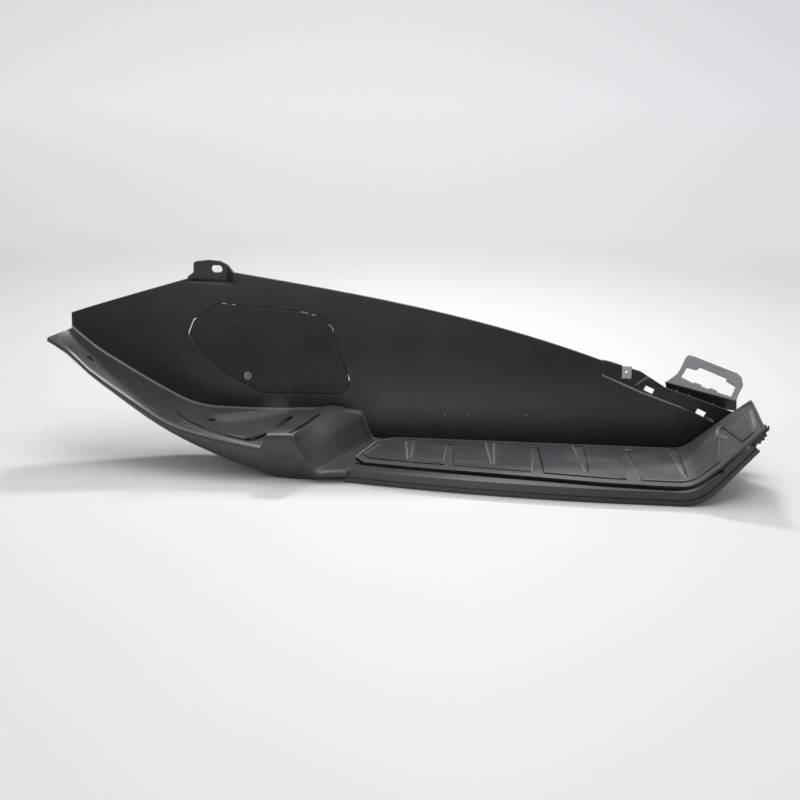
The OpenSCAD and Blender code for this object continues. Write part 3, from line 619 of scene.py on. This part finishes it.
def bead(name, pixels, height, width, rise):
    """A low rounded bead with tapered ends."""
    spots = [on_rise(u, v, height) for u, v in pixels]
    points = [start.lerp(end, step / BEAD_STEPS)
              for start, end in zip(spots, spots[1:]) for step in range(BEAD_STEPS)]
    points.append(spots[-1])
    for _ in range(BEAD_SOFTENING):
        points = ([points[0]] + [(points[i - 1] + points[i] * 2 + points[i + 1]) / 4
                                 for i in range(1, len(points) - 1)] + [points[-1]])
    last = len(points) - 1
    verts = []
    for i, point in enumerate(points):
        ahead = points[min(i + 1, last)] - points[max(i - 1, 0)]
        across = RISE_NORMAL.cross(ahead).normalized()
        size = max(BEAD_TIP, min(1.0, math.sin(math.pi * i / last) * BEAD_TAPER))
        for k in range(BEAD_SIDES):
            a = math.pi * k / (BEAD_SIDES - 1)
            verts.append(point + across * (math.cos(a) * width / 2 * size)
                         + RISE_NORMAL * (math.sin(a) * rise * size))
    faces = []
    for i in range(last):
        for k in range(BEAD_SIDES):
            a, b = i * BEAD_SIDES + k, i * BEAD_SIDES + (k + 1) % BEAD_SIDES
            faces.append((a, b, b + BEAD_SIDES, a + BEAD_SIDES))
    faces.append(tuple(reversed(range(BEAD_SIDES))))
    faces.append(tuple(last * BEAD_SIDES + k for k in range(BEAD_SIDES)))
    piece = new_piece(name, verts, faces, pale_bead_rubber)
    smooth(piece)
    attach(piece, "root")


# The mat's tops over the floor, and how deep a bead is sunk in them
WEB_TOP = 0.0029
PAD_TOP = 0.0048
SUNK = 0.0003
bead("mat_end_bead", [(749.5, 409.5), (751.6, 417), (753.4, 424.5), (754.2, 429)],
     WEB_TOP - SUNK, 0.0035, 0.0016)
# This bead is of the paler rubber, a painted highlight along the crease
bead("mat_crease", [(722.3, 426), (718, 428.6), (716.2, 432), (717.2, 437)],
     PAD_TOP - SUNK, 0.003, 0.0011)


def ragged(name, pixels, front, thickness):
    """A thin upright rest of torn plastic between the floor's end and the lip."""
    near = []
    for u, v in pixels:
        d = ray(u, v)
        near.append(eye + d * ((front - eye.y) / d.y))
    far = [spot + Vector((0, thickness, 0)) for spot in near]
    count = len(near)
    faces = [tuple(reversed(range(count))), tuple(range(count, 2 * count))]
    for i in range(count):
        j = (i + 1) % count
        faces.append((i, j, count + j, count + i))
    piece = new_piece(name, near + far, faces, moulding)
    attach(piece, "root")


# Ragged outline, in pixels of the photograph
TORN_OUTLINE = [
    (748, 446.5), (749.5, 443), (751.5, 443.6), (753, 440.2), (755.4, 440.8), (757, 437),
    (759.2, 437.6), (761.2, 433), (763, 434.4), (765.2, 430.8), (767.4, 436.2), (764.6, 437.6),
    (765, 440.2), (761.6, 441), (760.8, 444), (757.4, 443.8), (756, 447.2), (753, 446.6),
    (751, 449.5),
]
TORN_FRONT = -0.0632
TORN_THICKNESS = 0.0026
ragged("torn_edge", TORN_OUTLINE, TORN_FRONT, TORN_THICKNESS)

# Table and backdrop in one sweep
TABLE_TONE = (0.695, 0.695, 0.695)
BACKDROP_LEFT = (0.96, 0.965, 0.975)
BACKDROP_RIGHT = (0.83, 0.84, 0.86)
GLOW_TONE = (0.92, 0.95, 1.0, 1.0)
GLOW_REACH = (0.15, 1.3)
GLOW_STRENGTH = 0.24


def stage_skin(name, tone, rough):
    mat = bpy.data.materials.new(name)
    mat.use_nodes = True
    net = Net(mat.node_tree)
    shade = mat.node_tree.nodes["Principled BSDF"]
    where = net.object_place()
    x, y, z = net.split(where)
    cloud = net.noise(where, 1.3, 3.0)
    tint = net.mix(net.ramp(cloud, 0.3, 0.7), tone, tuple(c * 0.97 for c in tone))
    # The backdrop is painted paler to the left and greyer to the right, a painted light
    backdrop = net.mix(net.ramp(x, -1.1, 0.9), BACKDROP_LEFT, BACKDROP_RIGHT)
    tint = net.mix(net.ramp(z, 0.0, 0.25), tint, backdrop)
    net.link(tint, shade.inputs["Base Color"])
    shade.inputs["Roughness"].default_value = rough
    shade.inputs["Specular IOR Level"].default_value = 0.25
    # The backdrop is paler to the camera, without more light on the part
    glow = net.times(net.camera_ray(), net.ramp(y, *GLOW_REACH, 0.0, GLOW_STRENGTH))
    net.link(glow, shade.inputs["Emission Strength"])
    shade.inputs["Emission Color"].default_value = GLOW_TONE
    return mat


FLOOR_REACH = 6.0
FLOOR_FRONT = 1.15
FLOOR_DROP = 0.0002
SWEEP_START = 1.0
SWEEP_RADIUS = 1.4
SWEEP_STEPS = 32
BACKDROP_TOP = 4.0
profile = [(-FLOOR_FRONT, 0.0)]
for i in range(SWEEP_STEPS + 1):
    a = math.pi / 2 * i / SWEEP_STEPS
    profile.append((SWEEP_START + SWEEP_RADIUS * math.sin(a), SWEEP_RADIUS * (1 - math.cos(a))))
profile.append((SWEEP_START + SWEEP_RADIUS, BACKDROP_TOP))
verts = [(side * FLOOR_REACH, y, z - FLOOR_DROP) for y, z in profile for side in (-1, 1)]
faces = [(2 * i, 2 * i + 1, 2 * i + 3, 2 * i + 2) for i in range(len(profile) - 1)]
table = new_piece("table", verts, faces, stage_skin("table_white", TABLE_TONE, 0.55))
smooth(table)


def soft_light(name, place, aim, width, height, power, spread=180.0):
    """A rectangular light of the studio, in metres, watts and degrees."""
    data = bpy.data.lights.new(name, "AREA")
    data.spread = math.radians(spread)
    data.shape = "RECTANGLE"
    data.size = width
    data.size_y = height
    data.energy = power
    lamp = bpy.data.objects.new(name, data)
    lamp.location = place
    lamp.rotation_euler = (Vector(aim) - Vector(place)).to_track_quat("-Z", "Y").to_euler()
    scene.collection.objects.link(lamp)


soft_light("top", (0.10, 0.05, 1.85), (0.05, 0.0, 0.05), 1.9, 1.3, 21.5)
soft_light("back", (0.05, 1.05, 1.42), (-0.05, -0.05, 0.0), 0.30, 0.18, 4.0, 90.0)
soft_light("front", (-0.5, -1.5, 1.9), (-0.15, 0.2, 0.1), 1.9, 1.3, 4.5)
soft_light("right", (1.70, -0.50, 0.40), (-0.05, -0.05, 0.04), 0.6, 0.5, 2.0)

# The room's light: stronger from above and from behind the part, even and pale to the camera
ROOM_LOW = 0.20
ROOM_FRONT = 0.35
ROOM_TO_CAMERA = (0.9, 0.9, 0.91)
world = bpy.data.worlds.new("room")
scene.world = world
world.use_nodes = True
net = Net(world.node_tree)
background = world.node_tree.nodes["Background"]
_, away, up = net.split(net.add("ShaderNodeTexCoord").outputs["Generated"])
room = net.times(net.ramp(up, 0.0, 0.9, ROOM_LOW, 1.0), net.ramp(away, -1.0, 1.0, ROOM_FRONT, 1.0))
room_tone = net.mix(room, (0, 0, 0), (1, 1, 1))
net.link(net.mix(net.camera_ray(), room_tone, ROOM_TO_CAMERA), background.inputs["Color"])
background.inputs["Strength"].default_value = 1.0

scene.view_settings.view_transform = "Standard"
